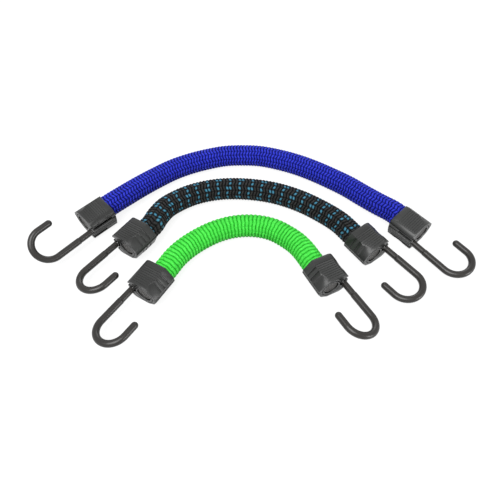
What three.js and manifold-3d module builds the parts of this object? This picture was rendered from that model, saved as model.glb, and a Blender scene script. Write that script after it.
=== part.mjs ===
// A set of three bungee cords lying on a flat surface as nested arcs, millimetres, +Z up.
// Each cord is a rubber core in a braided sleeve, with a moulded cap of two half shells on
// each end and a coated steel wire hook that runs in along the side of the cap.
// X runs across the set, the hooks point towards -Y and the surface is at Z = 0.
import * as THREE from 'three';
import { mergeVertices } from 'three/addons/utils/BufferGeometryUtils.js';
import Module from 'manifold-3d';

const wasm = await Module();
wasm.setup();

// Clearances
const fitGap = 0.3;
const overrun = 1;

// Cord
const cordDiameter = 12.7;
const sleeveWall = 1.05;
const cordSides = 12;
const cordStep = 10;
const capStations = 2;
const neckSqueeze = 1.05;
const cordRadius = cordDiameter / 2;
const sleeveBore = cordRadius - sleeveWall;
const coreRadius = sleeveBore - fitGap;
const neckRadius = cordRadius - neckSqueeze;
const neckSleeveBore = neckRadius - sleeveWall;
const neckCoreRadius = neckSleeveBore - fitGap;

// Hook wire and its plastic coating
const wireDiameter = 2.4;
const coatWall = 0.35;
const thinCoatWall = 0.2;
const wireSides = 8;
const hookRadius = 8.45;
const shankLength = 22.1;
const tipLength = 6.6;
const hookSplay = 3;
const coatStepShare = 0.36;
const bendSteps = 10;
const footSteps = 4;
const footLength = 5.2;
const footBend = 2.6;
const wireRadius = wireDiameter / 2;
const coatBore = wireRadius + fitGap;
const coatRadius = coatBore + coatWall;
const thinCoatRadius = coatBore + thinCoatWall;

// End cap
const capLength = 15.4;
const capHeight = 14.4;
const cordSideWall = 1.1;
const wireWall = 0.66;
const wireSideWall = 0.64;
const ridgeInset = 4;
const sideLand = 1.2;
const edgeRound = 2.5;
const edgeSteps = 4;
const channelInset = 2.1;
const channelHeight = 2.8;
const channelDepth = 0.9;
const mouthDepth = 2;
const endWall = 1.6;
const coreRecess = 1;
const footInset = 5;
const pocketRadius = 1.9;
const pocketShift = 0.3;
const pocketDepth = 1.1;
const boreSides = 16;
const ringGrooveInner = 0.95;
const ringGrooveWidth = 0.6;
const ringGrooveDepth = 0.7;

// Grips moulded in the cap's faces
const collarLength = 3.6;
const gripCount = 5;
const gripWidth = 0.6;
const gripDepth = 0.35;
const sideGripCount = 2;
const sideGripWidth = 0.9;
const sideGripDepth = 0.5;
const sideGripPitch = 2.9;
const facetLength = 6.5;
const facetDepth = 1.2;

const halfHeight = capHeight / 2;
const mouthRadius = (cordRadius + fitGap) / Math.cos(Math.PI / boreSides);
const neckBoreRadius = (neckRadius + fitGap) / Math.cos(Math.PI / boreSides);
const apertureRadius = neckCoreRadius + fitGap;
const wireBoreRadius = wireRadius + fitGap;
const wireOffset = neckRadius + fitGap + wireWall + wireBoreRadius;
const cordSide = mouthRadius + cordSideWall;
const wireSide = wireOffset + wireBoreRadius + wireSideWall;
const cordShoulder = capLength - mouthDepth;

// Each cord's route runs from the hook end of the left cap to the hook end of the right one.
// Its first and last step lie in the caps, and the steps next to them run on straight.
// Roll turns a cap and its hook about the cord, up on the side that the hook opens to, and
// turn lifts the hook's tip further, about the shank of its own wire. Both are in degrees.
const cords = [
  {
    name: 'blue',
    colour: 0x30389a,
    opening: 'outwards',
    roll: { left: 9.7, right: 11.2 },
    turn: { left: 37.3, right: -4.5 },
    route: [
      [-95.0, 6.7, 8.4], [-84.2, 17.7, 8.4], [-80.8, 21.2, 8.4], [-74.3, 27.6, 8.1],
      [-67.0, 35.0, 7.4], [-58.5, 42.6, 6.8], [-49.0, 49.8, 6.5], [-38.8, 55.2, 6.4],
      [-28.3, 59.1, 6.4], [-17.5, 61.9, 6.4], [-6.4, 62.6, 6.4], [4.7, 61.9, 6.4],
      [15.7, 59.0, 6.4], [26.4, 54.9, 6.4], [36.8, 49.5, 6.4], [46.8, 43.1, 6.4],
      [56.5, 36.0, 6.6], [65.0, 28.0, 7.1], [72.4, 20.9, 7.9], [79.8, 14.4, 8.6],
      [83.0, 10.6, 8.6], [93.0, -1.2, 8.6],
    ],
  },
  {
    name: 'black',
    colour: 0x1b1f22,
    opening: 'inwards',
    roll: { left: 10, right: -4.2 },
    turn: { left: 0.3, right: -2 },
    route: [
      [-67.9, -11.4, 8.5], [-58.9, 1.1, 8.5], [-56.1, 5.1, 8.5], [-53.9, 10.9, 8.3],
      [-50.1, 17.8, 7.8], [-44.2, 23.6, 7.1], [-36.9, 28.5, 6.6], [-28.3, 31.9, 6.4],
      [-18.6, 33.8, 6.4], [-8.6, 34.1, 6.4], [1.4, 33.2, 6.4], [11.5, 31.1, 6.4],
      [21.1, 27.6, 6.4], [30.2, 22.9, 6.4], [38.6, 17.2, 6.4], [45.7, 11.1, 6.8],
      [49.9, 6.3, 7.3], [53.2, 1.5, 7.5], [56.1, -2.6, 7.5], [65.0, -15.1, 7.5],
    ],
  },
  {
    name: 'green',
    colour: 0x4dd04d,
    opening: 'inwards',
    roll: { left: 4.8, right: 5.2 },
    turn: { left: 5.5, right: 12.5 },
    route: [
      [-55.2, -39.6, 7.8], [-47.1, -26.5, 7.8], [-44.5, -22.2, 7.8], [-41.6, -17.0, 7.7],
      [-37.7, -11.8, 7.4], [-32.9, -6.7, 6.8], [-27.2, -2.1, 6.5], [-20.3, 2.0, 6.4],
      [-12.6, 4.8, 6.4], [-4.2, 6.0, 6.4], [4.1, 5.4, 6.4], [11.8, 2.9, 6.4],
      [18.6, -1.7, 6.5], [23.9, -7.0, 7.1], [27.6, -12.5, 7.6], [30.2, -17.6, 7.9],
      [32.6, -22.0, 7.9], [39.9, -35.6, 7.9],
    ],
  },
];

const capMaterial = new THREE.MeshStandardMaterial({ color: 0x464746, roughness: 0.55, metalness: 0 });
const coatMaterial = new THREE.MeshStandardMaterial({ color: 0x3c3b39, roughness: 0.45, metalness: 0 });
const steelMaterial = new THREE.MeshStandardMaterial({ color: 0xa9abad, roughness: 0.35, metalness: 1 });
const rubberMaterial = new THREE.MeshStandardMaterial({ color: 0x2b2a29, roughness: 0.85, metalness: 0 });

// A path whose sections stand exactly at the given stations.
class StationPath extends THREE.Curve {
  constructor(stations) {
    super();
    this.stations = stations;
  }

  getPointAt(share, target = new THREE.Vector3()) {
    const last = this.stations.length - 1;
    return target.copy(this.stations[Math.round(share * last)]);
  }

  getTangentAt(share, target = new THREE.Vector3()) {
    const last = this.stations.length - 1;
    const index = Math.round(share * last);
    const before = this.stations[Math.max(index - 1, 0)];
    const after = this.stations[Math.min(index + 1, last)];
    return target.copy(after).sub(before).normalize();
  }
}

function circle(radius, sides, hole = false) {
  const outline = hole ? new THREE.Path() : new THREE.Shape();
  for (let i = 0; i < sides; i++) {
    const angle = 2 * Math.PI * (i / sides);
    const move = i === 0 ? 'moveTo' : 'lineTo';
    outline[move](radius * Math.cos(angle), radius * Math.sin(angle));
  }
  outline.closePath();
  return outline;
}

function tube(stations, radius, sides) {
  const section = circle(radius, sides);
  const path = new StationPath(stations);
  return new THREE.ExtrudeGeometry(section, { steps: stations.length - 1, extrudePath: path });
}

function toSolid(geometry) {
  const bare = geometry.clone();
  bare.deleteAttribute('normal');
  bare.deleteAttribute('uv');
  const merged = mergeVertices(bare);
  const vertProperties = new Float32Array(merged.attributes.position.array);
  const triVerts = new Uint32Array(merged.index.array);
  return new wasm.Manifold(new wasm.Mesh({ numProp: 3, vertProperties, triVerts }));
}

function toGeometry(solid) {
  const mesh = solid.getMesh();
  const geometry = new THREE.BufferGeometry();
  geometry.setAttribute('position', new THREE.BufferAttribute(mesh.vertProperties, 3));
  geometry.setIndex(new THREE.BufferAttribute(mesh.triVerts, 1));
  geometry.computeVertexNormals();
  return geometry;
}

// A closed outline in the cap's cross plane, run along the cord from x = start.
function prism(outline, start, length) {
  const shape = new THREE.Shape(outline.map(([y, z]) => new THREE.Vector2(y, z)));
  const geometry = new THREE.ExtrudeGeometry(shape, { depth: length, bevelEnabled: false, steps: 1 });
  const alongCord = new THREE.Matrix4().makeBasis(
    new THREE.Vector3(0, 1, 0),
    new THREE.Vector3(0, 0, 1),
    new THREE.Vector3(1, 0, 0),
  );
  geometry.applyMatrix4(alongCord);
  geometry.translate(start, 0, 0);
  return geometry;
}

function bar(radius, sides, start, length, y = 0) {
  const geometry = new THREE.CylinderGeometry(radius, radius, length, sides);
  geometry.rotateY(Math.PI / sides);
  geometry.rotateZ(Math.PI / 2);
  geometry.translate(start + length / 2, y, 0);
  return geometry;
}

// The wire's centre line in the cap's frame: x out of the cap, y towards the hook's opening,
// z square to both. The frame's origin is on the cord's axis in the cap's hook end.
function shankStart() {
  return new THREE.Vector3(0, -wireOffset, 0);
}

function footStations() {
  const corner = -capLength + footInset;
  const stations = [new THREE.Vector3(corner, -wireOffset, footLength)];
  for (let i = 0; i <= footSteps; i++) {
    const angle = (Math.PI / 2) * (i / footSteps);
    const x = corner + footBend * (1 - Math.cos(angle));
    const z = footBend * (1 - Math.sin(angle));
    stations.push(new THREE.Vector3(x, -wireOffset, z));
  }
  return stations;
}

function bendStations() {
  const stations = [];
  for (let i = 0; i <= bendSteps; i++) {
    const angle = Math.PI * (i / bendSteps);
    const x = shankLength + hookRadius * Math.sin(angle);
    const y = -wireOffset + hookRadius * (1 - Math.cos(angle));
    stations.push(new THREE.Vector3(x, y, 0));
  }
  return stations;
}

function tipPoint(length) {
  return new THREE.Vector3(shankLength - length, -wireOffset + 2 * hookRadius, 0);
}

// Leans what lies beyond the cap away from the cord, after a turn about the wire's shank
// from y towards z.
function beyondCap(turn) {
  const matrix = new THREE.Matrix4().makeTranslation(0, -wireOffset, 0);
  matrix.multiply(new THREE.Matrix4().makeRotationZ(-THREE.MathUtils.degToRad(hookSplay)));
  matrix.multiply(new THREE.Matrix4().makeRotationX(turn));
  return matrix.multiply(new THREE.Matrix4().makeTranslation(0, wireOffset, 0));
}

function hookWire(turn) {
  const hook = [...bendStations(), tipPoint(tipLength - coatWall)];
  const leaned = hook.map((point) => point.applyMatrix4(beyondCap(turn)));
  return tube([...footStations(), shankStart(), ...leaned], wireRadius, wireSides);
}

function hookCoat(turn) {
  const start = shankStart().setX(fitGap);
  const step = shankStart().setX(shankLength * coatStepShare);
  const outer = toSolid(tube([step, ...bendStations(), tipPoint(tipLength)], coatRadius, wireSides));
  const thin = toSolid(tube([start, step.clone().setX(step.x + overrun)], thinCoatRadius, wireSides));
  const dome = new THREE.SphereGeometry(coatRadius, wireSides, wireSides / 2);
  dome.rotateZ(Math.PI / 2);
  dome.translate(tipPoint(tipLength).x, tipPoint(tipLength).y, 0);
  const boreStart = start.clone().setX(start.x - overrun);
  const bore = toSolid(tube([boreStart, ...bendStations(), tipPoint(tipLength)], coatBore, wireSides));
  const coat = toGeometry(outer.add(thin).add(toSolid(dome)).subtract(bore));
  return coat.applyMatrix4(beyondCap(turn));
}

// Half the cap's cross section, on the side given by sign.
function halfOutline(sign) {
  const land = fitGap / 2;
  const outline = [
    [cordSide, land],
    [cordSide, sideLand],
    [cordSide - ridgeInset, halfHeight],
  ];
  for (let i = 0; i <= edgeSteps; i++) {
    const angle = (Math.PI / 2) * (i / edgeSteps);
    const y = -wireSide + edgeRound * (1 - Math.sin(angle));
    const z = halfHeight - edgeRound * (1 - Math.cos(angle));
    outline.push([y, z]);
  }
  outline.push([-wireSide, land]);
  return outline.map(([y, z]) => [y, sign * z]);
}

function grips(sign) {
  const tools = [];
  const first = -capLength + collarLength;
  const pitch = (capLength - collarLength) / (gripCount + 1);
  const across = cordSide - ridgeInset + wireSide;
  for (let i = 0; i <= gripCount; i++) {
    const tool = new THREE.BoxGeometry(gripWidth, across * 2, gripDepth * 2);
    tool.translate(first + i * pitch, 0, sign * halfHeight);
    tools.push(tool);
  }
  return tools;
}

// Deeper grips across the cord side's sloping face, next to the collar.
function sideGrips(sign) {
  const rise = halfHeight - sideLand;
  const slope = Math.atan2(rise, ridgeInset);
  const tools = [];
  for (let i = 0; i < sideGripCount; i++) {
    const tool = new THREE.BoxGeometry(sideGripWidth, rise, sideGripDepth * 2);
    tool.rotateX(-sign * slope);
    const x = -capLength + collarLength + (i + 1) * sideGripPitch;
    tool.translate(x, cordSide - ridgeInset / 2, sign * (halfHeight + sideLand) / 2);
    tools.push(tool);
  }
  return tools;
}

function mirrored(geometry) {
  geometry.scale(1, 1, -1);
  const index = geometry.index;
  for (let i = 0; i < index.count; i += 3) {
    const kept = index.getX(i);
    index.setX(i, index.getX(i + 1));
    index.setX(i + 1, kept);
  }
  return geometry;
}

// A facet that widens along the ridge towards the hook end.
function ridgeFacet(sign) {
  const tool = new THREE.BoxGeometry((facetLength + overrun) * 2, capHeight, facetDepth * 2);
  tool.translate(0, 0, facetDepth);
  tool.rotateY(Math.atan2(facetDepth, facetLength));
  tool.translate(-facetLength, 0, 0);
  tool.rotateX(-Math.atan2(halfHeight - sideLand, ridgeInset) / 2);
  tool.translate(0, cordSide - ridgeInset, halfHeight);
  return sign < 0 ? mirrored(tool) : tool;
}

function ringGroove() {
  const inner = apertureRadius + ringGrooveInner;
  const outer = inner + ringGrooveWidth;
  const section = circle(outer, boreSides);
  section.holes.push(circle(inner, boreSides, true));
  const stations = [new THREE.Vector3(-ringGrooveDepth, 0, 0), new THREE.Vector3(overrun, 0, 0)];
  const path = new StationPath(stations);
  return new THREE.ExtrudeGeometry(section, { steps: 1, extrudePath: path });
}

function wireChannel() {
  const stations = footStations();
  stations[0].z += fitGap;
  stations.push(shankStart().setX(overrun));
  return tube(stations, wireBoreRadius / Math.cos(Math.PI / wireSides), wireSides);
}

function capHalf(sign) {
  let half = toSolid(prism(halfOutline(sign), -capLength, capLength));
  const channel = new THREE.BoxGeometry(capLength * 2, channelDepth * 2, channelHeight);
  channel.translate(0, -wireSide, sign * (channelInset + channelHeight / 2));
  const cuts = [
    bar(mouthRadius, boreSides, -capLength - overrun, overrun + mouthDepth + fitGap),
    bar(neckBoreRadius, boreSides, -capLength, capLength - endWall),
    bar(apertureRadius, boreSides, -capLength, capLength + overrun),
    bar(pocketRadius, boreSides, -pocketDepth, pocketDepth + overrun, pocketShift - wireOffset),
    wireChannel(),
    channel,
    ringGroove(),
    ridgeFacet(sign),
    ...grips(sign),
    ...sideGrips(sign),
  ];
  for (const cut of cuts) {
    half = half.subtract(toSolid(cut));
  }
  return toGeometry(half);
}

function named(name, geometry, material) {
  const mesh = new THREE.Mesh(geometry, material);
  mesh.name = name;
  return mesh;
}

// A cap with its hook, seated on one end of a cord.
function cordEnd(name, hookEnd, outward, opening, roll, turn) {
  const end = new THREE.Group();
  const level = new THREE.Vector3(-outward.y, outward.x, 0).multiplyScalar(opening);
  const rise = THREE.MathUtils.degToRad(roll);
  const towardsTip = level.clone().multiplyScalar(Math.cos(rise));
  towardsTip.z = Math.sin(rise);
  const square = new THREE.Vector3().crossVectors(outward, towardsTip);
  const basis = new THREE.Matrix4().makeBasis(outward, towardsTip, square);
  end.quaternion.setFromRotationMatrix(basis);
  end.position.copy(hookEnd);
  const upper = Math.sign(square.z);
  const lift = upper * THREE.MathUtils.degToRad(turn);
  end.add(named(`${name}_cap_upper`, capHalf(upper), capMaterial));
  end.add(named(`${name}_cap_lower`, capHalf(-upper), capMaterial));
  end.add(named(`${name}_hook_wire`, hookWire(lift), steelMaterial));
  end.add(named(`${name}_hook_coating`, hookCoat(lift), coatMaterial));
  return end;
}

// The points at a distance from the cord's two ends, straight in the caps.
function endPoints(stations, distance) {
  const last = stations.length - 1;
  const ends = [[stations[0], stations[1]], [stations[last], stations[last - 1]]];
  return ends.map(([end, next]) => next.clone().sub(end).setLength(distance).add(end));
}

// A bar along a cord, squeezed to a neck between start and step from each of its ends.
function neckedBar(stations, start, step, radius, neck) {
  const [firstStep, lastStep] = endPoints(stations, step);
  const between = stations.slice(capStations, -capStations);
  const starts = endPoints(stations, start);
  const roots = endPoints(stations, step + overrun);
  let solid = toSolid(tube([firstStep, ...between, lastStep], radius, cordSides));
  for (let side = 0; side < starts.length; side++) {
    solid = solid.add(toSolid(tube([starts[side], roots[side]], neck, cordSides)));
  }
  return solid;
}

function sleeveSolid(stations) {
  const outer = neckedBar(stations, endWall + fitGap, cordShoulder, cordRadius, neckRadius);
  const start = endWall + fitGap - overrun;
  return outer.subtract(neckedBar(stations, start, cordShoulder + sleeveWall, sleeveBore, neckSleeveBore));
}

function coreSolid(stations) {
  const step = cordShoulder + sleeveWall + fitGap;
  return neckedBar(stations, coreRecess, step, coreRadius, neckCoreRadius);
}

function bungee({ name, colour, opening, roll, turn, route }) {
  const cord = new THREE.Group();
  const points = route.map(([x, y, z]) => new THREE.Vector3(x, y, z));
  const curve = new THREE.CatmullRomCurve3(points, false, 'centripetal');
  const stations = curve.getSpacedPoints(Math.round(curve.getLength() / cordStep));
  const last = points.length - 1;
  const sleeveMaterial = new THREE.MeshStandardMaterial({ color: colour, roughness: 0.8, metalness: 0 });
  cord.add(named(`${name}_sleeve`, toGeometry(sleeveSolid(stations)), sleeveMaterial));
  cord.add(named(`${name}_core`, toGeometry(coreSolid(stations)), rubberMaterial));
  const leftOut = points[0].clone().sub(points[1]).normalize();
  const rightOut = points[last].clone().sub(points[last - 1]).normalize();
  const side = opening === 'inwards' ? 1 : -1;
  cord.add(cordEnd(`${name}_left`, points[0], leftOut, side, roll.left, turn.left));
  cord.add(cordEnd(`${name}_right`, points[last], rightOut, -side, roll.right, turn.right));
  return cord;
}

const set = new THREE.Group();
for (const cord of cords) {
  set.add(bungee(cord));
}

export default set;
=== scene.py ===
"""Dresses a packed set of three bungee cords: braided sleeves over rubber cores, moulded end
caps in two half shells, and plastic coated wire hooks, lying on a white floor as nested arcs."""

import math

import bmesh
import bpy
import numpy as np
from bpy.props import FloatProperty, FloatVectorProperty, IntProperty, PointerProperty
from mathutils import Matrix, Vector


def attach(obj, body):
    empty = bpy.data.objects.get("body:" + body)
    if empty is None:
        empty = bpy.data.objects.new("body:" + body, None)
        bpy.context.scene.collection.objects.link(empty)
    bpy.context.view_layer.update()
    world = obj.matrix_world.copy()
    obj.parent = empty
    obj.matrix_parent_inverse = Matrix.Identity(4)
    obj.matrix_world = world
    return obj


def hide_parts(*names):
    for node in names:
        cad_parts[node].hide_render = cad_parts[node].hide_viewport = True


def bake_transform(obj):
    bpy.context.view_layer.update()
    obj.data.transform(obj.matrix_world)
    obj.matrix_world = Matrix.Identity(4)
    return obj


bl_info = {
    "name": "Bungee Cord Set",
    "version": (1, 0, 0),
    "blender": (4, 5, 0),
    "location": "View3D > Sidebar > Bungee",
    "description": "Braided cords, end caps and wire hooks of a set of bungee cords",
    "category": "Object",
}

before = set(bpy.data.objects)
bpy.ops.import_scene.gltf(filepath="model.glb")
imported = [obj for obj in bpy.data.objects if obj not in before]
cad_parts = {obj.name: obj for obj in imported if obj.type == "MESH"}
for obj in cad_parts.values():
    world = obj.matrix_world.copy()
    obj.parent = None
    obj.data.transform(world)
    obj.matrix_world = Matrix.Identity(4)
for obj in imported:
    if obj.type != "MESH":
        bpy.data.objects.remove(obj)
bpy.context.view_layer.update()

MM = 0.001
FIT_GAP = 0.3 * MM
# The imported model's bores have flat sides, whose corners reach this much further out.
CORNER_REACH = 0.13 * MM
# How far a cutter sticks out of what it cuts.
OVERRUN = 1 * MM

# Each cord's route runs from the hook end of the left cap to the hook end of the right one,
# in millimetres. Roll and turn are in degrees, for the left end and the right one.
CORDS = {
    "blue": {
        "opening": -1,
        "roll": (9.7, 11.2),
        "turn": (37.3, -4.5),
        "route": [
            (-95.0, 6.7, 8.4), (-84.2, 17.7, 8.4), (-80.8, 21.2, 8.4), (-74.3, 27.6, 8.1),
            (-67.0, 35.0, 7.4), (-58.5, 42.6, 6.8), (-49.0, 49.8, 6.5), (-38.8, 55.2, 6.4),
            (-28.3, 59.1, 6.4), (-17.5, 61.9, 6.4), (-6.4, 62.6, 6.4), (4.7, 61.9, 6.4),
            (15.7, 59.0, 6.4), (26.4, 54.9, 6.4), (36.8, 49.5, 6.4), (46.8, 43.1, 6.4),
            (56.5, 36.0, 6.6), (65.0, 28.0, 7.1), (72.4, 20.9, 7.9), (79.8, 14.4, 8.6),
            (83.0, 10.6, 8.6), (93.0, -1.2, 8.6),
        ],
    },
    "black": {
        "opening": 1,
        "roll": (10, -4.2),
        "turn": (0.3, -2),
        "route": [
            (-67.9, -11.4, 8.5), (-58.9, 1.1, 8.5), (-56.1, 5.1, 8.5), (-53.9, 10.9, 8.3),
            (-50.1, 17.8, 7.8), (-44.2, 23.6, 7.1), (-36.9, 28.5, 6.6), (-28.3, 31.9, 6.4),
            (-18.6, 33.8, 6.4), (-8.6, 34.1, 6.4), (1.4, 33.2, 6.4), (11.5, 31.1, 6.4),
            (21.1, 27.6, 6.4), (30.2, 22.9, 6.4), (38.6, 17.2, 6.4), (45.7, 11.1, 6.8),
            (49.9, 6.3, 7.3), (53.2, 1.5, 7.5), (56.1, -2.6, 7.5), (65.0, -15.1, 7.5),
        ],
    },
    "green": {
        "opening": 1,
        "roll": (4.8, 5.2),
        "turn": (5.5, 12.5),
        "route": [
            (-55.2, -39.6, 7.8), (-47.1, -26.5, 7.8), (-44.5, -22.2, 7.8), (-41.6, -17.0, 7.7),
            (-37.7, -11.8, 7.4), (-32.9, -6.7, 6.8), (-27.2, -2.1, 6.5), (-20.3, 2.0, 6.4),
            (-12.6, 4.8, 6.4), (-4.2, 6.0, 6.4), (4.1, 5.4, 6.4), (11.8, 2.9, 6.4),
            (18.6, -1.7, 6.5), (23.9, -7.0, 7.1), (27.6, -12.5, 7.6), (30.2, -17.6, 7.9),
            (32.6, -22.0, 7.9), (39.9, -35.6, 7.9),
        ],
    },
}

# How each sleeve is braided: strokes round the cord, the ribs' pitch in millimetres, how far
# a stroke climbs in ribs, how open the gaps between strokes are, from 0 to 1, the depth from
# the top of a rib to the bottom of a gap in millimetres, and the height on the rib, from 0 to
# 1, where the painted shade of the gaps ends.
BRAIDS = {
    "blue": {"strokes": 16, "pitch": 1.88, "climb": 0.44, "gaps": 0.65, "depth": 0.5, "crest": 0.95},
    "black": {"strokes": 14, "pitch": 1.89, "climb": 0.42, "gaps": 0.6, "depth": 0.6, "crest": 1.0},
    "green": {"strokes": 16, "pitch": 2.18, "climb": 0.12, "gaps": 0.3, "depth": 0.55, "crest": 0.55},
}


def length_property(label, text, default):
    """A length whose default is given in millimetres."""
    return FloatProperty(name=label, description=text, default=default * MM, unit="LENGTH")


def colour_property(label, text, default):
    """A colour given as it looks on a screen, from 0 to 255."""
    linear = [((c / 255 + 0.055) / 1.055) ** 2.4 if c > 10 else c / 255 / 12.92 for c in default]
    return FloatVectorProperty(
        name=label, description=text, default=linear, size=3, subtype="COLOR", min=0, max=1
    )


class BungeeSizes(bpy.types.PropertyGroup):
    """The sizes of the cords, caps and hooks."""

    cord_diameter: length_property("Cord", "Diameter over the braided sleeve", 12.7)
    sleeve_wall: length_property("Sleeve wall", "Thickness of the braided sleeve", 1.05)
    rib_rise: length_property("Rib rise", "How far the ribs stand above the cord's size", 0.15)
    around: IntProperty(name="Cord faces", description="Faces round a sleeve", default=112, min=28)
    ring_step: length_property("Ring step", "Distance between the rings of a sleeve", 0.36)
    wire_diameter: length_property("Wire", "Diameter of the bare hook wire", 2.4)
    coat_wall: length_property("Coating", "Thickness of the coating on the hook", 0.35)
    thin_coat_wall: length_property("Thin coating", "Its thickness on the shank", 0.2)
    hook_radius: length_property("Hook radius", "Radius of the wire's bend, to its middle", 8.45)
    shank: length_property("Shank", "Straight wire from the cap to the bend", 22.1)
    tip: length_property("Tip", "Straight wire from the bend to the tip", 6.6)
    splay: FloatProperty(
        name="Splay", description="Lean of the hook away from the cord", default=math.radians(3)
    )
    foot: length_property("Foot", "Reach of the wire's bent foot inside the cap", 5.2)
    foot_bend: length_property("Foot bend", "Radius of the foot's bend", 2.6)
    foot_inset: length_property("Foot inset", "From the cap's mouth to the foot", 5.0)
    cap_length: length_property("Cap length", "Length of an end cap along the cord", 15.4)
    cap_height: length_property("Cap height", "Height across both half shells", 14.4)
    squeeze: length_property("Squeeze", "How much a cap squeezes the cord's radius", 1.05)
    mouth_depth: length_property("Mouth depth", "Depth of the wide part of a cap's mouth", 2.0)
    cord_side_wall: length_property("Cord side wall", "Wall outside the cord's bore", 1.1)
    wire_wall: length_property("Wire wall", "Wall between the cord's bore and the wire's", 0.66)
    wire_side_wall: length_property("Wire side wall", "Wall outside the wire's bore", 0.64)
    ridge_inset: length_property("Ridge inset", "How far the cord side slopes in", 4.0)
    side_land: length_property("Side land", "Half the flat at the middle of the cord side", 1.2)
    edge_round: length_property("Edge radius", "Radius of the cap's edges by the wire", 4.2)
    end_wall: length_property("End wall", "Wall at the hook end that stops the sleeve", 1.6)
    core_recess: length_property("Core recess", "How far the core's end is set back", 0.5)
    collar: length_property("Collar", "Plain band at the cap's mouth", 3.6)
    groove_width: length_property("Groove width", "Width of a fine grip groove", 0.32)
    groove_depth: length_property("Groove depth", "Depth of a fine grip groove", 0.15)
    grooves: IntProperty(name="Grooves", description="Grip grooves on a face", default=9, min=0)


class BungeeColours(bpy.types.PropertyGroup):
    """The colours of the cords, caps and hooks."""

    # The gap colours are painted shade. The braid's gaps and the creases between its yarns take them
    # in place of the shade that falls there.
    blue_rib: colour_property("Blue ribs", "Tops of the blue sleeve's ribs", (60, 72, 240))
    blue_gap: colour_property("Blue gaps", "Gaps of the blue sleeve's braid", (1, 2, 60))
    black_rib: colour_property("Black ribs", "Tops of the black sleeve's ribs", (57, 57, 57))
    black_gap: colour_property("Black gaps", "Gaps of the black sleeve's braid", (2, 2, 3))
    tracer: colour_property("Tracer", "Light yarn in the black sleeve", (78, 150, 180))
    green_rib: colour_property("Green ribs", "Tops of the green sleeve's ribs", (96, 255, 94))
    green_gap: colour_property("Green gaps", "Gaps of the green sleeve's braid", (12, 182, 28))
    cap: colour_property("Caps", "Moulded plastic of the caps", (24, 25, 24))
    coat: colour_property("Hook coating", "Plastic coating of the hooks", (33, 30, 27))
    steel: colour_property("Hook wire", "Bare steel of the hooks", (190, 190, 188))
    rubber: colour_property("Core", "Rubber strands of the cores", (88, 86, 83))
    floor: colour_property("Floor", "The floor under the set", (255, 255, 255))


# Shader maths


class Signal:
    """A value in a node tree, so that its maths can be written as an expression."""

    def __init__(self, nodes, socket):
        self.nodes = nodes
        self.socket = socket

    def beside(self, label):
        """Another output of the node that this value comes from."""
        return Signal(self.nodes, self.socket.node.outputs[label])

    def math(self, operation, *others):
        return self.nodes.node("ShaderNodeMath", {"operation": operation}, (self, *others))

    def __add__(self, other):
        return self.math("ADD", other)

    def __sub__(self, other):
        return self.math("SUBTRACT", other)

    def __rsub__(self, other):
        return self.nodes.node("ShaderNodeMath", {"operation": "SUBTRACT"}, (other, self))

    def __mul__(self, other):
        return self.math("MULTIPLY", other)

    def __truediv__(self, other):
        return self.math("DIVIDE", other)

    def __gt__(self, other):
        return self.math("GREATER_THAN", other)

    __radd__ = __add__
    __rmul__ = __mul__

    def floor(self):
        return self.math("FLOOR")

    def share(self):
        """What is left above the whole number."""
        return self.math("FRACT")

    def rise(self, low, high):
        """0 below low, 1 above high and smooth between them."""
        settings = {"interpolation_type": "SMOOTHSTEP"}
        return self.nodes.node("ShaderNodeMapRange", settings, (self, low, high, 0.0, 1.0))


class NodeTree:
    """Adds nodes to the tree of a material or of the world."""

    def __init__(self, tree):
        self.tree = tree

    def feed(self, socket, value):
        if isinstance(value, Signal):
            self.tree.links.new(value.socket, socket)
        elif socket.type == "RGBA":
            socket.default_value = (*value, 1.0)
        else:
            socket.default_value = value

    def node(self, kind, settings=(), values=(), output=0):
        """Adds a node: its settings first, then its sockets by order or by name."""
        made = self.tree.nodes.new(kind)
        for label, value in dict(settings).items():
            setattr(made, label, value)
        pairs = values.items() if isinstance(values, dict) else enumerate(values)
        for key, value in pairs:
            self.feed(made.inputs[key], value)
        return Signal(self, made.outputs[output])

    def mix(self, factor, first, second):
        """From the first colour at 0 to the second at 1. The node keeps its sockets for
        numbers and vectors too, so those for colours are found by their order."""
        sockets = {0: factor, 6: first, 7: second}
        return self.node("ShaderNodeMix", {"data_type": "RGBA"}, sockets, 2)

    def noise(self, scale, detail=2.0):
        place = self.node("ShaderNodeTexCoord", (), (), "Object")
        values = {"Vector": place, "Scale": scale, "Detail": detail}
        return self.node("ShaderNodeTexNoise", (), values)

    def own_map(self, name):
        """The two axes of one of the piece's own UV maps."""
        mapped = self.node("ShaderNodeUVMap", {"uv_map": name})
        across = self.node("ShaderNodeSeparateXYZ", (), (mapped,))
        return across, across.beside("Y")

    def seen(self):
        """1 for what the camera sees, straight or in a reflection, and 0 for what lights."""
        camera = self.node("ShaderNodeLightPath", (), (), "Is Camera Ray")
        mirrored = camera.math("MAXIMUM", camera.beside("Is Glossy Ray"))
        return mirrored.math("MAXIMUM", camera.beside("Is Transmission Ray"))


class Finish(NodeTree):
    """A material of one Principled shader, fed by what its nodes work out."""

    def __init__(self, name, colour, roughness, **constants):
        self.material = bpy.data.materials.new(name)
        self.material.use_nodes = True
        super().__init__(self.material.node_tree)
        self.shader = self.tree.nodes["Principled BSDF"]
        self.set("Base Color", colour)
        self.set("Roughness", roughness)
        for label, value in constants.items():
            self.set(label.replace("_", " "), value)

    def set(self, label, value):
        self.feed(self.shader.inputs[label], value)

    def bump(self, height, distance):
        values = {"Height": height, "Distance": distance, "Strength": 1.0}
        self.set("Normal", self.node("ShaderNodeBump", (), values))


def darker(colour, share):
    return [channel * share for channel in colour]


# Meshes


def rework(mesh, change):
    """Opens a mesh as a bmesh, changes it and puts it back."""
    built = bmesh.new()
    built.from_mesh(mesh)
    change(built)
    built.to_mesh(mesh)
    built.free()


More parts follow.
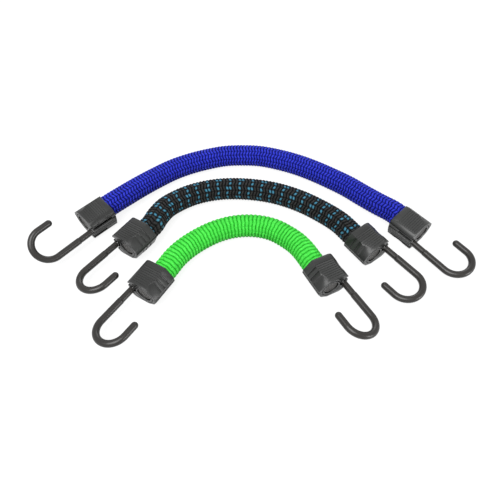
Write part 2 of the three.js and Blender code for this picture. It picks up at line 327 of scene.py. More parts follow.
def to_object(name, fill):
    """A new object, whose empty mesh is filled as a bmesh."""
    mesh = bpy.data.meshes.new(name)
    rework(mesh, fill)
    piece = bpy.data.objects.new(name, mesh)
    bpy.context.scene.collection.objects.link(piece)
    return piece


def smooth(piece, angle):
    """Shades smooth across every edge that is flatter than the angle."""

    def shade(built):
        for face in built.faces:
            face.smooth = True
        for edge in built.edges:
            edge.smooth = edge.calc_face_angle(0.0) < angle

    rework(piece.data, shade)


def dress(piece, finish):
    piece.data.materials.clear()
    piece.data.materials.append(finish.material)


class Centreline:
    """A line through points, sampled finely, with a frame that stays upright along it."""

    def __init__(self, points):
        self.points = np.array(points, float)
        steps = np.linalg.norm(np.diff(self.points, axis=0), axis=1)
        self.marks = np.concatenate([[0.0], np.cumsum(steps)])
        self.length = float(self.marks[-1])

    def at(self, places):
        columns = [np.interp(places, self.marks, self.points[:, i]) for i in range(3)]
        return np.stack(columns, axis=1)

    def frames(self, places, upright):
        """The centre, the upright direction and the one across it at each place."""
        reach = 0.05 * MM
        places = np.asarray(places, float)
        ahead = self.at(np.clip(places + reach, 0, self.length))
        behind = self.at(np.clip(places - reach, 0, self.length))
        along = ahead - behind
        along /= np.linalg.norm(along, axis=1)[:, None]
        up = np.array(upright) - along * (along @ np.array(upright))[:, None]
        up /= np.linalg.norm(up, axis=1)[:, None]
        return self.at(places), up, np.cross(along, up)


def sampled_route(route):
    """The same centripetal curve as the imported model's, as points in metres."""
    points = [Vector(p) * MM for p in route]
    points.insert(0, points[0] * 2 - points[1])
    points.append(points[-1] * 2 - points[-2])
    steps = 40
    sampled = []
    for i in range(1, len(points) - 2):
        p0, p1, p2, p3 = points[i - 1 : i + 3]
        gaps = [math.sqrt((b - a).length) for a, b in ((p0, p1), (p1, p2), (p2, p3))]
        start = (p1 - p0) / gaps[0] - (p2 - p0) / (gaps[0] + gaps[1]) + (p2 - p1) / gaps[1]
        end = (p2 - p1) / gaps[1] - (p3 - p1) / (gaps[1] + gaps[2]) + (p3 - p2) / gaps[2]
        start, end = start * gaps[1], end * gaps[1]
        for step in range(steps):
            t = step / steps
            point = p1 * (2 * t**3 - 3 * t**2 + 1) + start * (t**3 - 2 * t**2 + t)
            point += p2 * (3 * t**2 - 2 * t**3) + end * (t**3 - t**2)
            sampled.append(point)
    sampled.append(points[-2])
    return Centreline(sampled)


def rolled(name, line, profile, around, upright=(0, 0, 1), relief=None, closed=False):
    """Rolls a grid round a centreline. The profile is (place along the line, radius) pairs,
    and relief(turns, places, radii) gives what is added to the radii. The piece has a UV map
    whose first axis goes round from 0 to 1 and whose second is the place along the line."""
    profile = list(profile) + ([profile[0]] if closed else [])
    places = np.array([p for p, r in profile])
    radii = np.array([r for p, r in profile])
    centres, up, across = line.frames(places, upright)
    turns = np.linspace(0, 1, around + 1)
    radius = np.repeat(radii[:, None], around + 1, axis=1)
    if relief is not None:
        radius = radius + relief(turns[None, :], places[:, None], radii[:, None])
    angle = 2 * math.pi * turns
    spread = -np.cos(angle)[None, :, None] * up[:, None, :]
    spread = spread + np.sin(angle)[None, :, None] * across[:, None, :]
    grid = centres[:, None, :] + radius[:, :, None] * spread

    def fill(built):
        built.loops.layers.uv.new("along")
        bmesh.ops.create_grid(
            built, x_segments=around, y_segments=len(profile) - 1, size=1.0, calc_uvs=True
        )
        layer = built.loops.layers.uv.active
        built.verts.ensure_lookup_table()
        where = {}
        for vert in built.verts:
            i = round((vert.co.x + 1) / 2 * around)
            j = round((vert.co.y + 1) / 2 * (len(profile) - 1))
            where[vert.index] = (j, i)
        for face in built.faces:
            for loop in face.loops:
                j, i = where[loop.vert.index]
                loop[layer].uv = (turns[i], places[j])
        for vert in built.verts:
            vert.co = grid[where[vert.index]]
        bmesh.ops.remove_doubles(built, verts=built.verts, dist=0.002 * MM)
        bmesh.ops.dissolve_degenerate(built, edges=built.edges, dist=0.001 * MM)
        bare = [edge for edge in built.edges if not edge.link_faces]
        bmesh.ops.delete(built, geom=bare, context="EDGES")
        if built.calc_volume(signed=True) < 0:
            bmesh.ops.reverse_faces(built, faces=built.faces)

    return to_object(name, fill)


def arc(sweep, steps):
    """The angles of an arc, from 0 to its whole sweep."""
    return [sweep * i / steps for i in range(steps + 1)]


def rounded_end(place, radius, rounding, inwards):
    """The profile of a bar's end: from its middle, over a rounded edge, to its side."""
    profile = [(place, 0.0), (place, (radius - rounding) / 2)]
    for angle in arc(math.pi / 2, 4):
        along = place + inwards * rounding * (1 - math.cos(angle))
        profile.append((along, radius - rounding * (1 - math.sin(angle))))
    return profile


def evenly(start, end, step):
    """Places from start to end, about a step apart."""
    return np.linspace(start, end, max(2, round(abs(end - start) / step) + 1))


# Braid


def braid_height(braid, turn, place):
    """How high the braid stands, from 0 in a gap to 1 on a rib. The sleeve's shader works
    out the same."""
    strokes = turn * braid["strokes"]
    phase = place / (braid["pitch"] * MM) + braid["climb"] * np.abs(np.mod(strokes, 2) - 1)
    rib = 1 - (2 * np.mod(phase, 1) - 1) ** 2
    stroke = 1 - (2 * np.mod(strokes, 1) - 1) ** 4
    return rib * (1 - braid["gaps"] + braid["gaps"] * stroke)


def sleeve_finish(name, braid, rib_colour, gap_shade_colour, tracer=None):
    """Yarns laid side by side over each rib, slanting the way that their stroke climbs."""
    finish = Finish(f"{name}_braid", rib_colour, 0.5, Specular_IOR_Level=0.12)
    turn, place = finish.own_map("along")
    strokes = turn * braid["strokes"]
    ribs = place / (braid["pitch"] * MM)
    phase = ribs + braid["climb"] * (strokes.math("MODULO", 2.0) - 1).math("ABSOLUTE")
    rib = phase.share() * 2 - 1
    rib = 1 - rib * rib
    stroke = strokes.share() * 2 - 1
    stroke = stroke * stroke
    stroke = 1 - stroke * stroke
    height = rib * (1 - braid["gaps"] + stroke * braid["gaps"])
    yarn = finish.node("ShaderNodeCombineXYZ", (), (strokes.floor(), phase.floor(), 0.0))
    tint = finish.node("ShaderNodeTexWhiteNoise", {"noise_dimensions": "3D"}, {"Vector": yarn})
    lean = 1 - 2 * ((strokes * 0.5).share() > 0.5)
    strands = ((strokes * 4 + ribs * lean) * (2 * math.pi)).math("SINE") * 0.5 + 0.5
    # Painted shade: the gaps between ribs and strokes and the fine creases between yarns take the
    # darker gap colour, and the rib tops take the rib colour, with a random tint to each yarn.
    lit = height.rise(0.0, braid["crest"]) * (0.78 + tint * 0.22) * (0.8 + strands * 0.2)
    colour = finish.mix(lit, gap_shade_colour, rib_colour)
    if tracer is not None:
        colour = finish.mix(tracer_mask(strokes, phase, rib), colour, tracer)
    dust = finish.noise(90.0, 3.0)
    colour = finish.mix((dust - 0.5) * 0.16 + 0.06, colour, gap_shade_colour)
    finish.set("Base Color", colour)
    finish.set("Roughness", 0.42 + (1 - lit) * 0.35)
    finish.bump(height + strands * 0.14 + finish.noise(2600.0, 2.0) * 0.1, braid["depth"] * MM)
    return finish


def tracer_mask(strokes, phase, rib):
    """One light yarn, wound three and a half ribs to a turn. It climbs a rib in every fourth
    stroke, and shows twice in the stroke where it climbs."""
    ribs_a_turn = 3.5
    masks = []
    for turn in (0, 1):
        climbed = strokes.floor() * 0.25 + ribs_a_turn * turn
        row = (phase.floor() - climbed.floor()).math("FLOORED_MODULO", 2 * ribs_a_turn)
        here = row.math("COMPARE", 0.0, 0.1)
        masks.append(here + row.math("COMPARE", 1.0, 0.1) * (climbed.share() > 0.7))
    along = strokes.share()
    inside = along.rise(0.1, 0.42) * (1 - along.rise(0.58, 0.9))
    return (masks[0] + masks[1]) * inside * rib.rise(0.1, 0.9)


# Cap


def end_frames(name):
    """For each end of a cord: x out of the cap, y towards the hook's opening, z square to
    both, from the cord's axis in the cap's hook end."""
    cord = CORDS[name]
    ends = {}
    points = [Vector(p) * MM for p in cord["route"]]
    sides = (("left", points[0], points[1], 1), ("right", points[-1], points[-2], -1))
    for number, (side, tip, behind, hand) in enumerate(sides):
        outward = (tip - behind).normalized()
        level = Vector((-outward.y, outward.x, 0)) * (cord["opening"] * hand)
        roll = math.radians(cord["roll"][number])
        towards = level * math.cos(roll) + Vector((0, 0, math.sin(roll)))
        square = outward.cross(towards)
        upper = 1 if square.z > 0 else -1
        basis = Matrix((outward, towards, square)).transposed().to_4x4()
        turn = upper * math.radians(cord["turn"][number])
        ends[side] = (Matrix.Translation(tip) @ basis, upper, turn)
    return ends


class CapPlan:
    """Measures of a cap and its hook that follow from the sizes."""

    def __init__(self, sizes):
        self.sizes = sizes
        self.cord_radius = sizes.cord_diameter / 2
        self.core_radius = self.cord_radius - sizes.sleeve_wall - FIT_GAP
        self.mouth = self.cord_radius + FIT_GAP
        self.bore = self.mouth - sizes.squeeze
        self.aperture = self.core_radius - sizes.squeeze + FIT_GAP
        self.wire_radius = sizes.wire_diameter / 2
        self.coat_bore = self.wire_radius + FIT_GAP
        self.offset = self.bore + sizes.wire_wall + self.coat_bore
        self.coat_radius = self.coat_bore + sizes.coat_wall
        self.cord_side = self.mouth + CORNER_REACH + sizes.cord_side_wall
        self.wire_side = self.offset + self.coat_bore + sizes.wire_side_wall
        self.half_height = sizes.cap_height / 2
        self.slope = math.atan2(self.half_height - sizes.side_land, sizes.ridge_inset)

    def squeezed(self, radius, places, length):
        """The radius that the caps leave at places along a cord of this length."""
        low = self.sizes.cap_length - 1.5 * self.sizes.mouth_depth
        high = self.sizes.cap_length + 0.5 * self.sizes.mouth_depth
        inside = np.minimum(places, length - np.asarray(places))
        free = np.clip((inside - low) / (high - low), 0, 1)
        return radius - self.sizes.squeeze * (1 - free * free * (3 - 2 * free))

    def wire_points(self, turn, tip):
        """The wire's middle line in the cap's frame, from its foot to its tip."""
        sizes = self.sizes
        corner = -sizes.cap_length + sizes.foot_inset
        points = [Vector((corner, -self.offset, sizes.foot))]
        for angle in arc(math.pi / 2, 12):
            x = corner + sizes.foot_bend * (1 - math.cos(angle))
            points.append(Vector((x, -self.offset, sizes.foot_bend * (1 - math.sin(angle)))))
        return [*points, Vector((0, -self.offset, 0)), *self.hook_points(turn, tip)]

    def hook_points(self, turn, tip):
        """The round bend and the tip, leaning away from the cord and turned about the wire."""
        sizes = self.sizes
        about = Matrix.Translation((0, -self.offset, 0)) @ Matrix.Rotation(-sizes.splay, 4, "Z")
        about = about @ Matrix.Rotation(turn, 4, "X")
        points = []
        for angle in arc(math.pi, 60):
            x = sizes.shank + sizes.hook_radius * math.sin(angle)
            points.append(about @ Vector((x, sizes.hook_radius * (1 - math.cos(angle)), 0)))
        points.append(about @ Vector((sizes.shank - tip, 2 * sizes.hook_radius, 0)))
        return points


def block(built, low, high, place=Matrix.Identity(4)):
    """A box between two corners, then turned and moved into place."""
    low, high = Vector(low), Vector(high)
    made = bmesh.ops.create_cube(built, size=1.0)["verts"]
    bmesh.ops.scale(built, verts=made, vec=high - low)
    bmesh.ops.translate(built, verts=made, vec=(low + high) / 2)
    bmesh.ops.transform(built, verts=made, matrix=place)
    return made


def rod(built, radius, length, segments):
    """An upright round bar about the origin."""
    return bmesh.ops.create_cone(
        built, cap_ends=True, segments=segments, radius1=radius, radius2=radius, depth=length
    )["verts"]


def shell_blank(plan, sign):
    """A half shell before it is cut: its section is drawn, run along the cord and rounded."""
    sizes = plan.sizes
    mouth_round = 0.3 * MM
    section = [
        (plan.cord_side, FIT_GAP / 2),
        (plan.cord_side, sizes.side_land),
        (plan.cord_side - sizes.ridge_inset, plan.half_height),
        (-plan.wire_side, plan.half_height),
        (-plan.wire_side, FIT_GAP / 2),
    ]

    def fill(built):
        corners = [built.verts.new((-sizes.cap_length, y, sign * z)) for y, z in section]
        face = built.faces.new(corners)
        run = bmesh.ops.extrude_face_region(built, geom=[face])["geom"]
        moved = [v for v in run if isinstance(v, bmesh.types.BMVert)]
        bmesh.ops.translate(built, verts=moved, vec=(sizes.cap_length, 0, 0))
        bmesh.ops.recalc_face_normals(built, faces=built.faces)
        long_edges = [e for e in built.edges if abs(e.verts[0].co.x - e.verts[1].co.x) > MM]
        by_wire = [
            e
            for e in long_edges
            if abs(e.verts[0].co.y + plan.wire_side) < MM / 10
            and abs(e.verts[0].co.z) > plan.half_height / 2
        ]
        round_edges(built, by_wire, sizes.edge_round, 8)
        mouth = [
            e
            for e in built.edges
            if all(abs(v.co.x + sizes.cap_length) < MM / 10 for v in e.verts)
            and max(abs(v.co.z) for v in e.verts) > FIT_GAP
            and e.calc_face_angle(0.0) > 0.5
        ]
        round_edges(built, mouth, mouth_round, 3)

    return to_object("shell_blank", fill)


def round_edges(built, edges, radius, segments):
    bmesh.ops.bevel(
        built,
        geom=edges,
        offset=radius,
        offset_type="OFFSET",
        affect="EDGES",
        segments=segments,
        profile=0.5,
        material=-1,
        clamp_overlap=True,
    )


def round_cutter(name, radius, start, end, y=0.0, segments=64):
    """A round hole along the cap, from start to end."""

    def fill(built):
        made = rod(built, radius, end - start, segments)
        bmesh.ops.rotate(built, verts=made, matrix=Matrix.Rotation(math.pi / 2, 3, "Y"))
        bmesh.ops.translate(built, verts=made, vec=((start + end) / 2, y, 0))

    return to_object(name, fill)


def wire_cutter(plan):
    """The bore for the wire and for its foot."""
    line = Centreline(plan.wire_points(0.0, 0.0))
    end = plan.sizes.cap_length + 4 * MM
    places = evenly(0, end, 0.5 * MM)
    profile = [(0, 0.0), *((p, plan.coat_bore) for p in places), (end, 0.0)]
    return rolled("wire_cutter", line, profile, 32, (0, 1, 0))


def channels(plan, sign, name, cuts):
    """Channels down the wire side: where each lies in height, its depth and its length from
    the hook end, of which the first three are in millimetres."""
    y = -plan.wire_side

    def fill(built):
        for low, high, depth, run in cuts:
            ends = sorted((sign * low * MM, sign * high * MM))
            made = block(built, (-run, y - OVERRUN, ends[0]), (OVERRUN, y + depth * MM, ends[1]))
            edges = {
                e
                for v in made
                for e in v.link_edges
                if all(abs(w.co.y - y - depth * MM) < MM / 10 for w in e.verts)
                and abs(e.verts[0].co.x - e.verts[1].co.x) > MM
            }
            round_edges(built, list(edges), 0.3 * depth * MM, 3)

    return to_object(name, fill)


def side_channel_cutter(plan, sign):
    """A long channel, and a finer one next to the parting line."""
    run = plan.sizes.cap_length + OVERRUN
    cuts = ((2.1, 4.9, 0.5, run), (0.85, 1.3, 0.4, run))
    return channels(plan, sign, "side_channel_cutter", cuts)


def deep_channel_cutter(plan, sign):
    """Makes the long channel deeper, as far as the wire's foot in the half that holds it."""
    to_foot = 8.6 * MM
    to_collar = plan.sizes.cap_length - 2.4 * MM
    run = to_foot if sign > 0 else to_collar
    return channels(plan, sign, "deep_channel_cutter", ((2.0, 4.4, 2.5, run),))


def ring_groove_cutter(plan):
    """A fine ring round the opening in the hook end."""
    inset, width, depth = 0.95 * MM, 0.45 * MM, 0.45 * MM
    inner = plan.aperture + inset
    outer = inner + width
    line = Centreline([(-depth, 0, 0), (OVERRUN, 0, 0)])
    profile = [(0, inner), (0, outer), (line.length, outer), (line.length, inner)]
    return rolled("ring_groove_cutter", line, profile, 64, closed=True)


def flip(built):
    """Turns a cutter for the half at positive z into one for the other half."""
    bmesh.ops.scale(built, verts=built.verts, vec=(1, 1, -1))
    bmesh.ops.reverse_faces(built, faces=built.faces)


def facet_cutter(plan, sign):
    """A facet that widens along the ridge towards the hook end."""
    sizes = plan.sizes
    length, depth, reach = 7.6 * MM, 1.3 * MM, 8 * MM

    def fill(built):
        place = Matrix.Translation((0, plan.cord_side - sizes.ridge_inset, plan.half_height))
        place = place @ Matrix.Rotation(-plan.slope / 2, 4, "X")
        place = place @ Matrix.Translation((-length, 0, 0))
        place = place @ Matrix.Rotation(math.atan2(depth, length), 4, "Y")
        block(built, (-reach, -reach, 0), (reach, reach, 2 * depth), place)
        if sign < 0:
            flip(built)

    return to_object("facet_cutter", fill)


def grip_cutter(plan, sign):
    """Fine grooves across the flat face, from the collar to the hook end."""
    sizes = plan.sizes

    def fill(built):
        first = -sizes.cap_length + sizes.collar
        pitch = (sizes.cap_length - sizes.collar) / (sizes.grooves + 0.4)
        for i in range(sizes.grooves):
            x = first + i * pitch
            block(
                built,
                (x, -2 * plan.wire_side, sign * plan.half_height - sizes.groove_depth),
                (x + sizes.groove_width, plan.wire_side, sign * plan.half_height + sizes.groove_depth),
            )

    return to_object("grip_cutter", fill)


def side_grip_cutter(plan, sign):
    """Grooves across the sloping face: deep ones by the collar, then shallower ones."""
    sizes = plan.sizes
    depths, pitch, half_width = (0.5 * MM, 0.5 * MM, 0.3 * MM), 2.9 * MM, 0.45 * MM
    rise = plan.half_height - sizes.side_land
    half_reach = rise * 0.56

    def fill(built):
        middle = plan.cord_side - sizes.ridge_inset / 2
        height = sign * (plan.half_height + sizes.side_land) / 2
        for i, depth in enumerate(depths):
            x = -sizes.cap_length + sizes.collar + (i + 0.35) * pitch
            place = Matrix.Translation((x, middle, height))
            place = place @ Matrix.Rotation(-sign * plan.slope, 4, "X")
            half = Vector((half_width, half_reach, depth))
            block(built, -half, half, place)

    return to_object("side_grip_cutter", fill)


def waist_cutter(plan):
    """A long shallow scallop in the rounded edge over the wire, in the half at negative z."""
    sizes = plan.sizes
    radius, depth, length, place = 15 * MM, 0.55 * MM, 16 * MM, -7.4 * MM

    def fill(built):
        reach = sizes.edge_round * (1 - math.sqrt(0.5))
        slant = Vector((0, -1, 1)).normalized()
        foot = Vector((place, reach - plan.wire_side, plan.half_height - reach))
        made = rod(built, radius, length, 96)
        turned = Vector((0, 0, 1)).rotation_difference(Vector((0, 1, 1))).to_matrix()
        bmesh.ops.rotate(built, verts=made, matrix=turned)
        bmesh.ops.translate(built, verts=made, vec=foot + slant * (radius - depth))
        flip(built)

    return to_object("waist_cutter", fill)


def cap_cutters(plan, sign):
    """All that is cut from a half shell's blank, in this order."""
    sizes = plan.sizes
    mouth = -sizes.cap_length
    pocket_radius, pocket_depth, pocket_shift = 1.9 * MM, 1.1 * MM, 0.3 * MM
    pocket_middle = pocket_shift - plan.offset
    cutters = [
        round_cutter("bore", plan.bore, mouth - OVERRUN, -sizes.end_wall),
        round_cutter("mouth", plan.mouth, mouth - OVERRUN, mouth + sizes.mouth_depth + FIT_GAP),
        round_cutter("aperture", plan.aperture, mouth, OVERRUN),
        round_cutter("pocket", pocket_radius, -pocket_depth, OVERRUN, pocket_middle, 40),
        wire_cutter(plan),
        side_channel_cutter(plan, sign),
        deep_channel_cutter(plan, sign),
        ring_groove_cutter(plan),
        facet_cutter(plan, sign),
    ]
    if sign < 0:
        cutters.append(waist_cutter(plan))
    return [*cutters, grip_cutter(plan, sign), side_grip_cutter(plan, sign)]


def merged(built):
    """Joins the points and flat faces that the cuts leave split."""
    bmesh.ops.remove_doubles(built, verts=built.verts, dist=0.01 * MM)
    bmesh.ops.dissolve_limit(
        built, angle_limit=math.radians(1), verts=built.verts, edges=built.edges
    )


def half_shell(plan, sign):
    """Cuts a half shell from its blank and softens its edges. In the cap's frame it lies at
    positive z where sign is 1, and then holds the wire's foot, and at negative z where it
    is -1."""
    blank = shell_blank(plan, sign)
    cutters = cap_cutters(plan, sign)
    for cutter in cutters:
        cut = blank.modifiers.new(cutter.name, "BOOLEAN")
        cut.operation = "DIFFERENCE"
        cut.solver = "EXACT"
        cut.object = cutter
    mesh = evaluated(blank)
    for leftover in (*cutters, blank):
        bpy.data.objects.remove(leftover)
    rework(mesh, merged)
    shell = bpy.data.objects.new("shell", mesh)
    bpy.context.scene.collection.objects.link(shell)
    soften = shell.modifiers.new("soften", "BEVEL")
    soften.width = 0.14 * MM
    soften.segments = 2
    soften.limit_method = "ANGLE"
    soften.angle_limit = math.radians(32)
    soften.use_clamp_overlap = True
    softened = evaluated(shell)
    bpy.data.objects.remove(shell)
    return softened


def evaluated(piece):
    """The mesh that a piece's modifiers give."""
    bpy.context.view_layer.update()
    graph = bpy.context.evaluated_depsgraph_get()
    return bpy.data.meshes.new_from_object(piece.evaluated_get(graph))


def cap_finish(colour):
    finish = Finish("cap_plastic", colour, 0.4, Specular_IOR_Level=0.5)
    mottle = finish.noise(60.0, 4.0)
    # Painted highlight: the sharp edges, found by their pointiness, are painted a much lighter grey
    # where light would catch them.
    edge = finish.node("ShaderNodeNewGeometry", (), (), "Pointiness").rise(0.51, 0.6)
    painted_edge_highlight = [min(1.0, channel * 2.2 + 0.02) for channel in colour]
    base = finish.mix(mottle.rise(0.3, 0.7), darker(colour, 0.86), colour)
    finish.set("Base Color", finish.mix(edge * 0.5, base, painted_edge_highlight))
    finish.set("Roughness", 0.34 + mottle * 0.06)
    finish.bump(finish.noise(900.0, 2.0), 0.012 * MM)
    return finish


# Hook

# A direction in the cap's frame that the wire never takes, so that its rings never flip.
WIRE_UPRIGHT = Vector((0.31, 0.5, 0.81))
WIRE_RING_STEP = 0.6 * MM


def hook_wire(name, plan, place, turn):
    tip = plan.sizes.tip - plan.sizes.coat_wall
    line = Centreline([place @ p for p in plan.wire_points(turn, tip)])
    places = evenly(0, line.length, WIRE_RING_STEP)[1:-1]
    radius, rounding = plan.wire_radius, 0.25 * MM
    profile = rounded_end(0, radius, rounding, 1)
    profile += [(p, radius) for p in places if rounding < p < line.length - rounding]
    profile += reversed(rounded_end(line.length, radius, rounding, -1))
    upright = place.to_3x3() @ WIRE_UPRIGHT
    return rolled(name, line, profile, 32, upright)


def hook_coating(name, plan, place, turn):
    """The coating is thin on the shank, steps up, and ends in a dome over the tip."""
    sizes = plan.sizes
    shank = [Vector((FIT_GAP, -plan.offset, 0))]
    line = Centreline([place @ p for p in shank + plan.hook_points(turn, sizes.tip)])
    thin = plan.coat_bore + sizes.thin_coat_wall
    step = sizes.shank * 0.36
    end = line.length
    rim, slope, inner_step = 0.06 * MM, 0.16 * MM, 1.2 * MM
    profile = [(rim, plan.coat_bore), (0, (plan.coat_bore + thin) / 2), (rim, thin)]
    profile += [(p, thin) for p in evenly(0.4 * MM, step - 0.3 * MM, 0.8 * MM)]
    profile += [(step - slope, thin + 0.03 * MM), (step, plan.coat_radius - 0.05 * MM)]
    profile += [(p, plan.coat_radius) for p in evenly(step + 0.12 * MM, end, WIRE_RING_STEP)]
    tip = line.at([end])[0] - line.at([end - 0.2 * MM])[0]
    reach = Vector(tip).normalized() * plan.coat_radius
    line = Centreline([*line.points, line.points[-1] + np.array(reach)])
    for angle in arc(math.pi / 2, 8)[1:]:
        beyond = end + plan.coat_radius * math.sin(angle)
        profile.append((beyond, plan.coat_radius * math.cos(angle)))
    inner = [(end, 0.0), (end, plan.coat_bore)]
    inner += [(p, plan.coat_bore) for p in evenly(end - inner_step, inner_step, inner_step)]
    upright = place.to_3x3() @ WIRE_UPRIGHT
    return rolled(name, line, profile + inner, 32, upright, closed=True)


def coat_finish(colour):
    finish = Finish("hook_coat", colour, 0.4, Specular_IOR_Level=0.5)
    mottle = finish.noise(140.0, 3.0)
    finish.set("Base Color", finish.mix(mottle.rise(0.3, 0.7), darker(colour, 0.8), colour))
    finish.set("Roughness", 0.28 + mottle * 0.08)
    finish.bump(finish.noise(1500.0, 2.0), 0.01 * MM)
    return finish


def steel_finish(colour):
    finish = Finish("hook_steel", colour, 0.3, Metallic=1.0)
    drawn = finish.noise(500.0, 3.0)
    finish.set("Base Color", finish.mix(drawn, darker(colour, 0.75), colour))
    finish.set("Roughness", 0.24 + drawn * 0.2)
    finish.bump(drawn, 0.01 * MM)
    return finish


# Core


def strand_map(piece, line):
    """Gives the core's ends a map in strands across, so that their round ends show."""
    layer = piece.data.uv_layers.new(name="strands")
    mesh = piece.data
    corners = np.zeros(len(mesh.loops), np.int32)
    mesh.loops.foreach_get("vertex_index", corners)
    spots = np.zeros(len(mesh.vertices) * 3)
    mesh.vertices.foreach_get("co", spots)
    spots = spots.reshape(-1, 3)[corners]
    centres, up, across = line.frames([0.0, line.length], (0, 0, 1))
    near = np.linalg.norm(spots - centres[0], axis=1) < np.linalg.norm(spots - centres[1], axis=1)
    values = np.zeros((len(corners), 2))
    for mask, k in ((near, 0), (~near, 1)):
        values[mask, 0] = (spots[mask] - centres[k]) @ across[k]
        values[mask, 1] = (spots[mask] - centres[k]) @ up[k]
    strand_width = 0.95 * MM
    layer.data.foreach_set("uv", (values / strand_width).astype(np.float32).ravel())


def rubber_finish(colour):
    finish = Finish("core_rubber", colour, 0.6, Specular_IOR_Level=0.5)
    mapped = finish.node("ShaderNodeUVMap", {"uv_map": "strands"})
    settings = {"voronoi_dimensions": "2D", "feature": "DISTANCE_TO_EDGE"}
    values = {"Vector": mapped, "Scale": 1.0, "Randomness": 0.45}
    edge = finish.node("ShaderNodeTexVoronoi", settings, values)
    # Painted shade: the crevices between the strands, at the edges of the Voronoi cells, are painted
    # much darker than the rubber.
    strand = edge.rise(0.03, 0.22)
    finish.set("Base Color", finish.mix(strand, darker(colour, 0.35), colour))
    finish.set("Roughness", 0.7 - strand * 0.25)
    finish.bump(strand, 0.25 * MM)
    return finish


# Operators


def chosen(context, label):
    """One of the colours that are set in the scene."""
    return tuple(getattr(context.scene.bungee_colours, label))


class SCENE_OT_bungee_camera(bpy.types.Operator):
    """Puts the camera where the set is seen from the front and above"""

    bl_idname = "scene.bungee_camera"
    bl_label = "Camera"

    def execute(self, context):
        data = bpy.data.cameras.new("camera")
        data.sensor_width = 36
        data.lens = 34.2
        data.clip_start, data.clip_end = 0.01, 10
        camera = bpy.data.objects.new("camera", data)
        context.scene.collection.objects.link(camera)
        camera.location = Vector((-1.6, -160.1, 216.5)) * MM
        aim = Vector((-1.6, -6.2, 0)) * MM - camera.location
        camera.rotation_euler = aim.to_track_quat("-Z", "Y").to_euler()
        context.scene.camera = camera
        return {"FINISHED"}


class OBJECT_OT_bungee_sleeves(bpy.types.Operator):
    """Braids the three sleeves along their routes"""

    bl_idname = "object.bungee_sleeves"
    bl_label = "Sleeves"

    def execute(self, context):
        for name in CORDS:
            rib, gap = chosen(context, f"{name}_rib"), chosen(context, f"{name}_gap")
            tracer = chosen(context, "tracer") if name == "black" else None
            finish = sleeve_finish(name, BRAIDS[name], rib, gap, tracer)
            self.make(name, context.scene.bungee_sizes, finish)
        return {"FINISHED"}

    def make(self, name, sizes, finish):
        braid = BRAIDS[name]
        line = sampled_route(CORDS[name]["route"])
        plan = CapPlan(sizes)
        start = sizes.end_wall + FIT_GAP
        end = line.length - start
        wide_step = 2 * MM
        outer = evenly(start, end, sizes.ring_step)
        inner = evenly(end, start, wide_step)
        radii = [plan.squeezed(plan.cord_radius, outer, line.length)]
        radii.append(plan.squeezed(plan.cord_radius - sizes.sleeve_wall, inner, line.length))
        profile = np.stack([np.concatenate([outer, inner]), np.concatenate(radii)], axis=1)

        def relief(turns, places, radii):
            middle = plan.squeezed(plan.cord_radius - sizes.sleeve_wall / 2, places, line.length)
            height = braid_height(braid, turns, places)
            return np.where(radii > middle, sizes.rib_rise - braid["depth"] * MM * (1 - height), 0)

        sleeve = rolled(
            f"{name}_braided_sleeve", line, profile, sizes.around, relief=relief, closed=True
        )
        smooth(sleeve, math.radians(60))
        dress(sleeve, finish)
        mouths = line.at([sizes.cap_length, line.length - sizes.cap_length])
        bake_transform(sleeve)
        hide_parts(f"{name}_sleeve")
        line.at(evenly(start, end, wide_step))


class OBJECT_OT_bungee_cores(bpy.types.Operator):
    """Puts the rubber cores in the sleeves"""

    bl_idname = "object.bungee_cores"
    bl_label = "Cores"

    def execute(self, context):
        sizes = context.scene.bungee_sizes
        plan = CapPlan(sizes)
        finish = rubber_finish(chosen(context, "rubber"))
        rounding = 0.3 * MM
        neck = plan.core_radius - sizes.squeeze
        for name in CORDS:
            line = sampled_route(CORDS[name]["route"])
            start = sizes.core_recess
            end = line.length - start
            profile = rounded_end(start, neck, rounding, 1)
            inside = evenly(start + 2 * rounding, end - 2 * rounding, 1.3 * MM)
            radii = plan.squeezed(plan.core_radius, inside, line.length)
            profile += list(zip(inside, radii))
            profile += reversed(rounded_end(end, neck, rounding, -1))
            core = rolled(f"{name}_rubber_core", line, profile, 48)
            strand_map(core, Centreline(line.at(evenly(start, end, MM))))
            smooth(core, math.radians(40))
            dress(core, finish)
            mouths = line.at([sizes.cap_length, line.length - sizes.cap_length])
            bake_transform(core)
            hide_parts(f"{name}_core")
        return {"FINISHED"}


class OBJECT_OT_bungee_caps(bpy.types.Operator):
    """Moulds the end caps, two half shells to each"""

    bl_idname = "object.bungee_caps"
    bl_label = "Caps"

    def execute(self, context):
        plan = CapPlan(context.scene.bungee_sizes)
        finish = cap_finish(chosen(context, "cap"))
        shells = {sign: half_shell(plan, sign) for sign in (1, -1)}
        for name in CORDS:
            for side, (place, upper, _) in end_frames(name).items():
                for half, sign in (("upper", upper), ("lower", -upper)):
                    mesh = shells[sign].copy()
                    mesh.transform(place)
                    piece = bpy.data.objects.new(f"{name}_{side}_shell_{half}", mesh)
                    context.scene.collection.objects.link(piece)
                    smooth(piece, math.radians(38))
                    dress(piece, finish)
                    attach(piece, f"{name}_{side}")
                    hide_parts(f"{name}_{side}_cap_{half}")
        return {"FINISHED"}


class OBJECT_OT_bungee_hooks(bpy.types.Operator):
    """Bends the hooks' wires and coats them"""

    bl_idname = "object.bungee_hooks"
    bl_label = "Hooks"

    def execute(self, context):
        plan = CapPlan(context.scene.bungee_sizes)
        steel = steel_finish(chosen(context, "steel"))
        coat = coat_finish(chosen(context, "coat"))
        for name in CORDS:
            for side, (place, _, turn) in end_frames(name).items():
                end = f"{name}_{side}"
                wire = hook_wire(f"{end}_bent_wire", plan, place, turn)
                coating = hook_coating(f"{end}_plastic_coat", plan, place, turn)
                for piece, finish, slot, node in (
                    (wire, steel, "hook_steel", "hook_wire"),
                    (coating, coat, "hook_coat", "hook_coating"),
                ):
                    smooth(piece, math.radians(50))
                    dress(piece, finish)
                    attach(piece, end)
                    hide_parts(f"{end}_{node}")
        return {"FINISHED"}


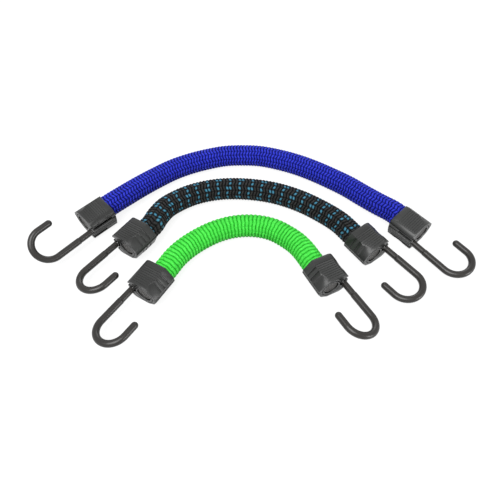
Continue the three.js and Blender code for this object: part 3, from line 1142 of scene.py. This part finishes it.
class SCENE_OT_bungee_stage(bpy.types.Operator):
    """Lays the white floor and sets the soft lamps"""

    bl_idname = "scene.bungee_stage"
    bl_label = "Stage"

    def execute(self, context):
        self.floor(chosen(context, "floor"))
        self.world(context.scene)
        lamps = (
            ("top", (-0.3, -0.5, 1.1), 1.0, 14.0),
            ("back", (0.1, 0.9, 0.45), 0.6, 1.5),
            ("corner", (1.0, -0.6, 0.25), 0.5, 4.0),
        )
        for name, place, size, power in lamps:
            self.lamp(context.scene, name, place, size, power)
        context.scene.view_settings.view_transform = "Standard"
        return {"FINISHED"}

    def floor(self, colour):
        """Glows nearly white where it is seen, and the light on its grey does the rest, so
        that shadows stay faint."""
        half_side = 0.7

        def fill(built):
            bmesh.ops.create_grid(built, x_segments=1, y_segments=1, size=half_side)

        floor = to_object("floor", fill)
        shade, tone = darker(colour, 0.21), darker(colour, 0.22)
        finish = Finish("white_floor", tone, 0.9, Specular_IOR_Level=0.0, Emission_Strength=1.0)
        finish.set("Base Color", finish.mix(finish.noise(40.0, 2.0), shade, tone))
        finish.set("Emission Color", finish.mix(finish.seen() * 0.88, (0, 0, 0), (1, 1, 1)))
        floor.data.materials.append(finish.material)

    def world(self, scene):
        """White where it is seen, and dim and a little blue where it lights."""
        world = bpy.data.worlds.new("studio")
        world.use_nodes = True
        nodes = NodeTree(world.node_tree)
        dim = {"Color": (0.93, 0.96, 1.0), "Strength": 0.3}
        light = nodes.node("ShaderNodeBackground", (), dim)
        white = nodes.node("ShaderNodeBackground", (), {"Color": (1, 1, 1)})
        shown = nodes.node("ShaderNodeMixShader", (), (nodes.seen(), light, white))
        nodes.feed(nodes.tree.nodes["World Output"].inputs["Surface"], shown)
        nodes.tree.nodes.remove(nodes.tree.nodes["Background"])
        scene.world = world

    def lamp(self, scene, name, place, size, power):
        data = bpy.data.lights.new(name, "AREA")
        data.shape = "DISK"
        data.size = size
        data.energy = power
        lamp = bpy.data.objects.new(name, data)
        lamp.location = place
        lamp.rotation_euler = (-Vector(place)).to_track_quat("-Z", "Y").to_euler()
        scene.collection.objects.link(lamp)


class VIEW3D_PT_bungee(bpy.types.Panel):
    """Lists the sizes, the colours and what makes each group of pieces"""

    bl_label = "Bungee Cord Set"
    bl_space_type = "VIEW_3D"
    bl_region_type = "UI"
    bl_category = "Bungee"

    def draw(self, context):
        for group in (context.scene.bungee_sizes, context.scene.bungee_colours):
            box = self.layout.box()
            for label in group.__annotations__:
                box.prop(group, label)
        for operator in OPERATORS:
            self.layout.operator(operator.bl_idname)


OPERATORS = (
    SCENE_OT_bungee_camera,
    OBJECT_OT_bungee_sleeves,
    OBJECT_OT_bungee_cores,
    OBJECT_OT_bungee_caps,
    OBJECT_OT_bungee_hooks,
    SCENE_OT_bungee_stage,
)
CLASSES = (BungeeSizes, BungeeColours, *OPERATORS, VIEW3D_PT_bungee)


def register():
    for item in CLASSES:
        bpy.utils.register_class(item)
    bpy.types.Scene.bungee_sizes = PointerProperty(type=BungeeSizes)
    bpy.types.Scene.bungee_colours = PointerProperty(type=BungeeColours)


def unregister():
    del bpy.types.Scene.bungee_colours
    del bpy.types.Scene.bungee_sizes
    for item in reversed(CLASSES):
        bpy.utils.unregister_class(item)


def main():
    register()
    bpy.ops.scene.bungee_camera()
    bpy.ops.object.bungee_sleeves()
    bpy.ops.object.bungee_cores()
    bpy.ops.object.bungee_caps()
    bpy.ops.object.bungee_hooks()
    bpy.ops.scene.bungee_stage()


if __name__ == "__main__":
    main()
